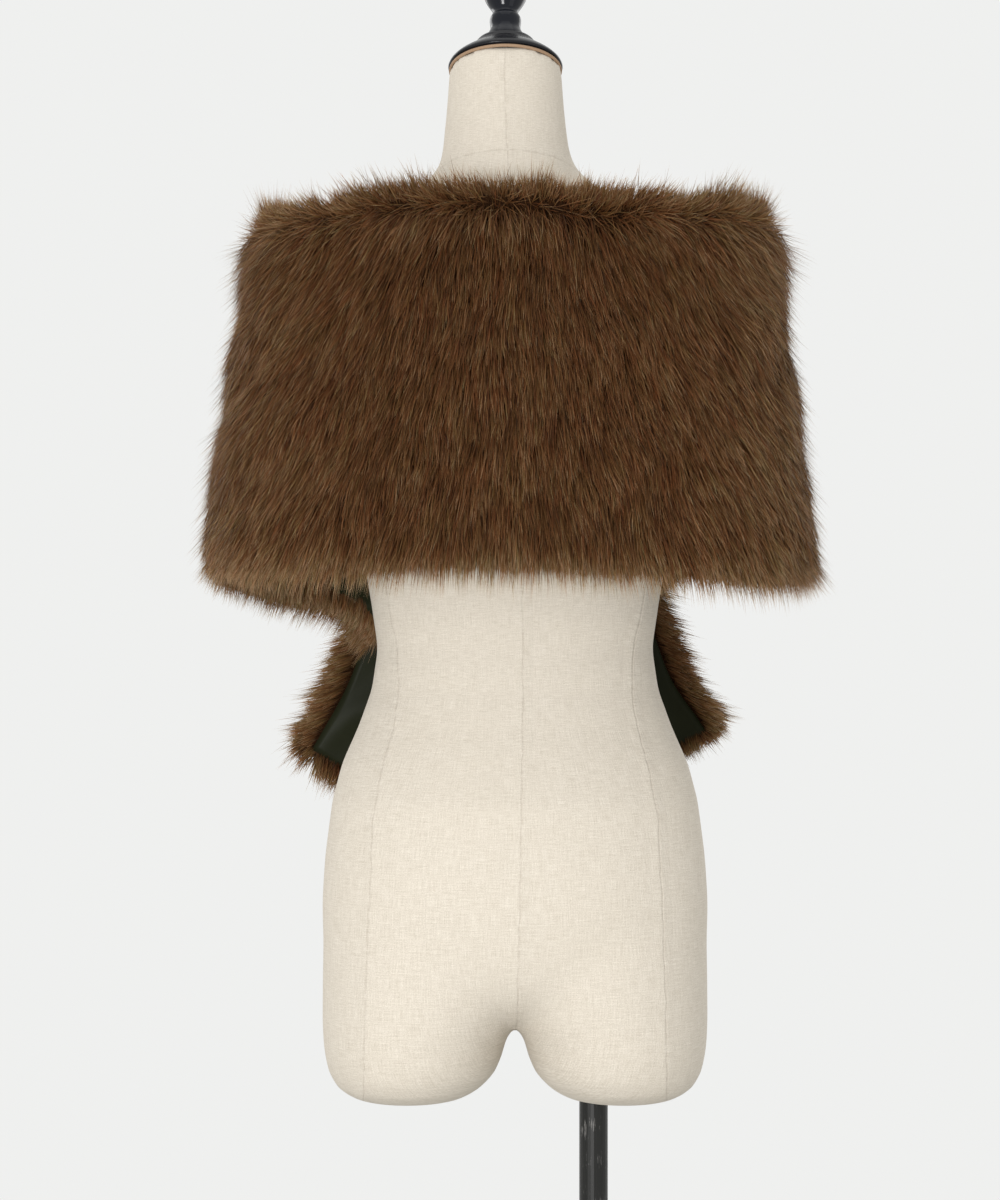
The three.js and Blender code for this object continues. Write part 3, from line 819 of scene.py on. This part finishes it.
def grow(stretch, count, seed, pick):
    """The roots with all that the hairs' direction, length and tone depend on: places on the strip, the skin's
    directions there, tufts, and how far each is at the back, at the sides or under the end on top."""
    s, w, rim = scatter_roots(stretch, count, pick)
    h = SimpleNamespace(count=count, seed=seed, s=s, w=w, rim=rim, u=place_at(s))
    h.wide = wide_at(h.u)
    h.v = w / h.wide
    h.from_hem = h.wide - w
    held = np.clip(h.v, 0, 1)
    h.base = skin(h.u, h.v)
    h.out = normal_of(skin, h.u, held)
    step = 0.02
    h.along = in_plane(skin(h.u + step, h.v) - skin(h.u - step, h.v), h.out)
    h.down = in_plane(skin(h.u, held + step) - skin(h.u, held - step), h.out)
    h.press = pressed(h.u, h.base)
    h.keep = (inside_cover(h.base) < 0.012) | (h.u > COVERED_TO)
    h.fine = tufts(s, w, TUFT, seed)
    h.broad = tufts(s, w, BROAD_TUFT, seed + 1)
    h.swirl = waves(s, w, 11)
    h.at_back = ease(*LEFT_TURN, h.u) * ease(*RIGHT_TURN, h.u)
    h.sides = ease(0.11, 0.17, np.abs(h.base[:, 0]))
    h.hem_rim = (rim > 0) & (h.v > 0.5)
    h.wisp = pick.random(count) < np.where(
        rim > 0, 0.30 + 0.08 * h.hem_rim, np.where(rim < 0, 0.0, 0.09 + 0.09 * h.sides))
    return h


def lay(h, pick):
    """The way each hair lies in the skin: fanned out from the neck and turned a little by its tufts, standing up
    along the top edge, hanging down at the hem and pointing out at the ends. It also sets streak, the tone of
    the hair's streak, up, how far it stands up, and short, how much of it is missing beside an end."""
    flow = in_plane((h.base - FAN_FROM) * np.array([1.0, 0.8, 1.0]), h.out)
    slope = (flow * h.along).sum(-1) / np.maximum((flow * h.down).sum(-1), 0.1)
    h.streak = streak_tones(h.s, h.w, slope, h.seed)
    turn = 6 * h.swirl + 9 * (h.fine[2] - 0.5) + 8 * (h.broad[2] - 0.5)
    turn = np.radians(turn + pick.normal(0, 5.5, h.count) * (1 + 1.2 * (1 - h.at_back)))
    flow = turned(flow, np.cross(h.out, flow), turn)

    ruff = in_plane(h.base - RUFF_FROM, h.out)
    stray = 30 * (h.fine[3] - 0.5) + 26 * (h.broad[3] - 0.5) + pick.normal(0, 13, h.count)
    ruff = turned(ruff, np.cross(h.out, ruff), np.radians(stray))
    sweep = in_plane(flow * 0.75 - h.down, h.out)
    off_top = ruff * h.at_back[:, None] + sweep * (1 - h.at_back)[:, None]
    uneven = 0.012 * (h.broad[4] - 0.5) + 0.008 * (h.fine[4] - 0.5) + 0.0045 * pick.normal(0, 1, h.count)
    h.up = 1 - ease(-0.005, 0.010, h.w + uneven)
    h.up = np.where((h.rim < 0) & (h.v < 0.03), np.maximum(h.up, 0.85), h.up)
    at_hem = 0.55 * (1 - ease(0.0, 0.015, h.from_hem))
    flow = in_plane(blend(flow, off_top, h.up), h.out)
    flow = in_plane(blend(flow, h.down, at_hem), h.out)
    h.short = np.zeros(h.count)
    for edge, sign, less in ((0, -1, 0.5), (LAST, 1, 0.2)):
        beside = np.abs(h.s - length_at(edge) - sign * UNDER_PAST_END[edge])
        near = 0.6 * (1 - ease(0.0, 0.02, beside))
        h.short = np.maximum(h.short, less * (1 - ease(0.0, 0.03, beside)))
        flow = in_plane(flow * (1 - near)[:, None] + h.along * (sign * near)[:, None], h.out)
    return flow


def lengths(h, pick):
    """Metres of each hair: shorter along the edges and at the ends, longer at the shoulders' tops and for the
    single hairs that stand out of the pile."""
    length = HAIR_LENGTH * (1 + 0.15 * pick.normal(0, 1, h.count) + 0.16 * (h.fine[4] - 0.5))
    length = np.clip(length, *LENGTH_LIMITS)
    corner = ease(0.13, 0.18, h.base[:, 0]) * ease(5.0, 6.5, h.u) * ease(11.5, 10.0, h.u)
    length *= (1 - 0.46 * h.up * h.at_back - 0.36 * (1 - ease(0.0, 0.014, h.from_hem))
               - 0.26 * h.up * (1 - h.at_back))
    length *= (1 + 0.14 * h.sides * h.at_back * ease(0.06, 0.02, h.w)
               - 0.28 * corner * ease(0.03, 0.01, h.from_hem))
    standing_out = np.where(h.hem_rim, 1.65, np.where(h.rim != 0, 1.45, 1.12))
    length *= (1 - h.short) * np.where(h.rim < 0, 0.85, 1) * np.where(h.wisp, standing_out, 1)
    length *= (np.where(h.rim != 0, 0.88 + 0.12 * h.at_back, 1)
               * (1 + 0.4 * h.up * (h.broad[2] - 0.5) + 0.2 * h.up * (h.fine[3] - 0.5)))
    return length


def lifts(h, pick):
    """Radians by which each hair leaves the skin at its root, and past its bend, where most lie flatter."""
    lift = HAIR_LIFT + 9 * (h.fine[3] - 0.5) + 8 * (h.broad[3] - 0.5)
    lift = lift + pick.normal(0, 6, h.count) * (1 + 0.8 * (1 - h.at_back))
    lift += (24 * 4 * h.up * (1 - h.up) + 8 * ease(0.03, 0.01, h.w)) * h.at_back
    lift += (np.where(h.base[:, 0] > 0, 30, 23) * h.sides * h.at_back * ease(0.05, 0.0, h.w)
             * (1 - 0.5 * h.up))
    lift = np.where(h.rim > 0, pick.uniform(-5, 48, h.count), lift)
    lift = np.where(h.rim < 0, pick.uniform(-32, 8, h.count), lift)
    lift = np.radians(lift) * (1 - 0.88 * h.press)
    return lift, lift * np.where((h.rim != 0) | (h.up > 0.4) | h.wisp, 0.75, 0.30)


def strand_map(h, pick):
    """The strand map of each hair's four points: across is its hue, and in it its tone from dark to golden. The tone
    holds painted light, lighter at the hem, the sides, the wearer's right, the front and the hairs along the edges,
    and painted shade just below the top edge in the middle of the back; it is also lighter along the top edge, where
    hairs stand up, and for the single hairs that stand out. Up is the place from root to tip."""
    across = np.abs(h.base[:, 0])
    tone = 0.43 + 0.21 * h.streak + 0.02 * (h.broad[4] - 0.5) + pick.normal(0, 0.15, h.count) + 0.02 * h.swirl
    # Painted light: lighter at the hem and at the sides. Lighter along the top edge too.
    tone += 0.30 * ease(0.90, 1.0, h.v) + 0.18 * ease(0.13, 0.23, across) + 0.10 * ease(0.05, 0.0, h.w)
    # Lighter where the hairs stand up. Painted light on the wearer's right and on the front.
    tone += 0.06 * h.up + 0.09 * ease(-0.10, -0.20, h.base[:, 0]) + 0.15 * (1 - h.at_back)
    # Painted shade just below the top edge in the middle of the back.
    tone -= 0.13 * ease(0.09, 0.02, h.w) * ease(0.15, 0.06, across) * h.at_back * (1 - h.up)
    # Painted light on the hairs along the edges. The single hairs that stand out are lighter.
    tone += np.where(h.rim != 0, 0.14, 0) + np.where(h.wisp, 0.30, 0)
    # Painted light on the lining-side edge hairs of the left end and the left front.
    tone += np.where((h.rim < 0) & (h.u < LEFT_TURN[1]), 0.10, 0)
    tone = np.floor(np.clip(tone, 0.0, 0.999) * TONES)
    hue = 1.4 + 0.75 * (2 * h.fine[3] - 1) + pick.normal(0, 0.55, h.count)
    hue = np.floor(np.clip(hue, 0, HUES - 0.001))
    place = np.zeros((h.count, 4, 2))
    place[..., 0] = ((hue * TONES + tone)[:, None] + np.array([0.5, 0.15, 0.85, 0.5])) / (HUES * TONES)
    place[..., 1] = np.array([0.03, 0.42, 0.42, 0.97])
    place[:, 0, 1] = np.where(h.rim != 0, 0.25, 0.03)
    return place


def make_hairs(stretch, count, seed):
    """Hairs of a root, two points at the bend and a tip. From the root a hair leaves the skin by its lift, bends
    down past the middle, and is drawn a little towards the middles of its tufts. It is left out where the end on
    top hides it."""
    pick = np.random.default_rng(seed)
    h = grow(stretch, count, seed, pick)
    flow = lay(h, pick)
    length = lengths(h, pick)
    lift, droop = lifts(h, pick)

    pile = UNDER + (UNDER_PRESSED - UNDER) * h.press
    in_lining_side, in_pile = pick.uniform(0.05, 0.4, count), pick.uniform(0.35, 0.8, count)
    root_height = np.where(h.rim < 0, in_lining_side, in_pile) * pile
    root_height = np.where((h.rim < 0) & (h.from_hem > LINING_INSET), -SEAM_GAP - LINING, root_height)
    root = h.base + h.out * root_height[:, None]
    hold = np.where(h.rim != 0, 0.08 + 0.08 * h.up * h.at_back, 0.26) * (0.4 + 0.6 * h.at_back)
    draw = (h.along * (hold * h.fine[0] + 0.10 * h.broad[0])[:, None]
            + h.down * (hold * h.fine[1] + 0.10 * h.broad[1])[:, None])
    middle = root + turned(flow, h.out, lift) * (length * 0.42)[:, None] + draw * 0.4
    tip = middle + turned(flow, h.out, droop) * (length * 0.62)[:, None] + draw * 0.6

    bent = unit(tip - root)
    level = unit(np.cross(bent, h.out))
    blade = turned(level, np.cross(bent, level), pick.normal(0, 0.6, count))
    half_width = (HAIR_HALF_WIDTH * pick.uniform(0.7, 1.3, count) * np.where(h.wisp, 0.6, 1))[:, None]
    points = np.stack([root, middle - blade * half_width, middle + blade * half_width, tip], axis=1)[h.keep]
    place = strand_map(h, pick)[h.keep]
    first_point = np.arange(len(points))[:, None] * 4
    faces = np.concatenate([first_point + np.array([0, 2, 1]), first_point + np.array([1, 2, 3])])
    return make_mesh(f"fur_{stretch}_hairs", points.reshape(-1, 3), faces, FUR, uv=place.reshape(-1, 2),
                     uv_name=STRAND_MAP)


def flat_cut(stretch, past_end, past_sides):
    """Width and length of a stretch's flat cut: the strip's middle width and length, and what the piece has past
    the strip's end and sides."""
    low, high = STRETCHES[stretch]
    width = wide_at(np.linspace(low, high, 60)).mean() + past_sides
    length = length_at(high) - length_at(low) + past_end.get(low, 0) + past_end.get(high, 0)
    return float(width), float(length)


for seed, stretch in enumerate(STRETCHES, FIRST_SEED):
    cloth = make_under(stretch)
    hairs = make_hairs(stretch, HAIRS[stretch], seed)
    lining = make_lining(stretch)
    for piece in (cloth, hairs, lining):
        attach(piece, "root")
    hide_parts(f"fur_{stretch}")
    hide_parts(f"lining_{stretch}")
    flat_cut(stretch, UNDER_PAST_END, UNDER_PAST + UNDER_PAST_TOP)
    flat_cut(stretch, LINING_PAST_END, -2 * LINING_INSET)


# ---- canvas form
NECK_TILT = math.radians(19)
NECK_SHIFT = 8 * MM
NECK_TOP = 1471.5 * MM
NECK_MIDDLE_Y = -4 * MM
# The size of the remade faces, how near points are joined first, how often the points are relaxed, and the radius
# that turns an angle round the form into cloth length
FORM_FACE = 0.0042
WELD_WITHIN = 0.00005
RELAX_ROUNDS = 24
CANVAS_ROUND = 0.14

# The two princess seams: heights and how far each lies from the middle
PRINCESS = np.array([[0.60, 0.1245], [0.70, 0.1225], [0.78, 0.1195], [0.848, 0.1165], [0.883, 0.1105], [0.919, 0.1005],
                     [0.950, 0.0965], [0.983, 0.098], [1.008, 0.103], [1.043, 0.110], [1.20, 0.112], [1.31, 0.10]])
# The middle seam: heights and how far it wanders to the side
MIDDLE = np.array([[0.66, -0.001], [0.80, -0.004], [0.94, -0.0065], [1.02, -0.006], [1.20, -0.003], [1.30, 0.0],
                   [1.42, 0.008]])


def seam_distances(x, y, z):
    """Metres from the middle seam, the princess seams, the side seams and the one round the neck's foot."""
    princess = np.abs(x) - np.interp(z, *PRINCESS.T)
    return np.stack([
        x - np.interp(z, *MIDDLE.T),
        np.where(z < 1.31, princess, 1.0),
        np.where(np.abs(x) > 0.09, y + 0.004, 1.0),
        np.where(z > 1.34, z - y * math.tan(NECK_TILT) - 1.377, 1.0),
    ], -1)


def relaxed(points, edges, rounds):
    """Points drawn towards the mean of their neighbours, most where hips and thighs join and a little elsewhere."""
    count = len(points)
    ends = np.concatenate([edges, edges[:, ::-1]])
    number = np.bincount(ends[:, 0], minlength=count)[:, None]
    z = points[:, 2]
    share = (0.12 + 0.45 * ease(0.672, 0.70, z) * ease(0.82, 0.78, z))[:, None]
    for _ in range(rounds):
        near = np.stack([np.bincount(ends[:, 0], points[ends[:, 1], n], count) for n in range(3)], -1) / number
        points = points + share * (near - points)
    return points


def values_of(items, name, kind, size=1):
    """One property of a mesh's items as an array."""
    values = np.zeros(len(items) * size, kind)
    items.foreach_get(name, values)
    return values


def smooth_form():
    """The torso remade as even small faces, with hips and thighs run into each other. The cloth map is the arc round
    the form and the height, and seams is the distance from each kind of seam."""
    source = nodes["form_body"].copy()
    source.data = nodes["form_body"].data.copy()
    source.parent = None
    bpy.context.scene.collection.objects.link(source)
    source.name = "canvas_source"
    weld = source.modifiers.new("weld", "WELD")
    weld.merge_threshold = WELD_WITHIN
    remesh = source.modifiers.new("even", "REMESH")
    remesh.mode = "VOXEL"
    remesh.voxel_size = FORM_FACE
    mesh = bpy.data.meshes.new_from_object(source.evaluated_get(bpy.context.evaluated_depsgraph_get()))
    bpy.data.objects.remove(source)
    mesh.name = "form_canvas"
    mesh.materials.clear()
    mesh.materials.append(CANVAS)
    points = values_of(mesh.vertices, "co", np.float32, 3).reshape(-1, 3).astype(float)
    points = relaxed(points, values_of(mesh.edges, "vertices", np.int32, 2).reshape(-1, 2), RELAX_ROUNDS)
    mesh.vertices.foreach_set("co", points.astype(np.float32).ravel())
    mesh.update()
    x, y, z = points.T
    corner = values_of(mesh.loops, "vertex_index", np.int32)
    sizes = values_of(mesh.polygons, "loop_total", np.int32)
    owner = np.repeat(np.arange(len(sizes)), sizes)
    turn = np.arctan2(x, y)[corner]
    first = turn[np.searchsorted(owner, np.arange(len(sizes)))][owner]
    turn = turn - 2 * np.pi * np.round((turn - first) / (2 * np.pi))
    while mesh.uv_layers:
        mesh.uv_layers.remove(mesh.uv_layers[0])
    layer = mesh.uv_layers.new(name=CLOTH_MAP)
    layer.data.foreach_set("uv", np.stack([turn * CANVAS_ROUND, z[corner]], -1).astype(np.float32).ravel())
    attribute = mesh.attributes.new("seams", "FLOAT_COLOR", "POINT")
    attribute.data.foreach_set("color", seam_distances(x, y, z).astype(np.float32).ravel())
    mesh.polygons.foreach_set("use_smooth", np.ones(len(mesh.polygons), bool))
    return new_object("form_canvas", mesh)


def on_neck(points):
    """Points of a turned piece tilted with the neck and set on its middle."""
    x, y, z = points.T
    y = y + NECK_MIDDLE_Y
    return np.stack([x + NECK_SHIFT, y * math.cos(NECK_TILT) - z * math.sin(NECK_TILT),
                     y * math.sin(NECK_TILT) + z * math.cos(NECK_TILT) + NECK_TOP], -1)


def make_piping():
    """A bead of tape round the neck under the cap: a small ellipse carried round a circle."""
    round_neck, round_bead = 96, 8
    turn, section = np.meshgrid(np.arange(round_neck) * 2 * np.pi / round_neck,
                                np.arange(round_bead) * 2 * np.pi / round_bead, indexing="ij")
    radius = 46.4 * MM + 1.2 * MM * np.cos(section)
    height = -1.5 * MM + 1.5 * MM * np.sin(section)
    points = np.stack([radius * np.cos(turn), radius * np.sin(turn), height], -1).reshape(-1, 3)
    faces = grid_faces(round_neck, round_bead, closed=True)[:, ::-1]
    uv = np.stack([turn * CANVAS_ROUND, section * 0.001], -1).reshape(-1, 2)
    return make_mesh("neck_piping", on_neck(points), faces, TAPE, uv=uv)


canvas = smooth_form()
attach(canvas, "root")
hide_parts("form_body")

cap = revolve("neck_cap_turned", [
    (0, 0.4), (46.6, 0.4), (48.3, 0.7), (48.7, 1.6), (48.2, 3.4), (43.6, 8), (36, 13.5), (29, 18.4), (25.6, 20.6),
    (25.2, 22), (25.2, 24.6), (24.4, 25.4), (22.8, 25.6), (0, 25.6)], 96, on_neck, CAP_PAINT)
knob = revolve("finial_turned", [
    (0, 25.9), (16.6, 25.9), (17.4, 26.4), (17, 28), (15.6, 32), (13.4, 35.6), (12.4, 37.6), (12.4, 40), (13.2, 41.6),
    (13.5, 45), (13.2, 48.6), (12, 50.4), (9.8, 52.2), (10.4, 54.4), (13, 58), (16.2, 63), (18.8, 69), (19.3, 75),
    (17.8, 83), (13.8, 90), (8.6, 94.6), (5.4, 96.4), (5.8, 98.6), (5, 101.4), (2.6, 103.2), (0, 103.8)],
    72, on_neck, LACQUER)
piping = make_piping()
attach(piping, "root")
for piece, node in ((cap, "neck_cap"), (knob, "finial")):
    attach(piece, "root")
    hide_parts(node)

# The stand keeps its own solids.
for name in ("stand_pole", "pole_collar", "stand_base"):
    node = nodes[name]
    node.data.materials.clear()
    node.data.materials.append(STEEL)


# ---- floor
FLOOR_HALF = 2.9
FLOOR_DOWN = 0.0005
corners = np.array([[-1, -1, 0], [1, -1, 0], [1, 1, 0], [-1, 1, 0]]) * FLOOR_HALF - np.array([0, 0, FLOOR_DOWN])
floor = make_mesh("studio_floor", corners, np.array([[0, 1, 2, 3]]), paper_material(), smooth=False)

bpy.context.view_layer.update()
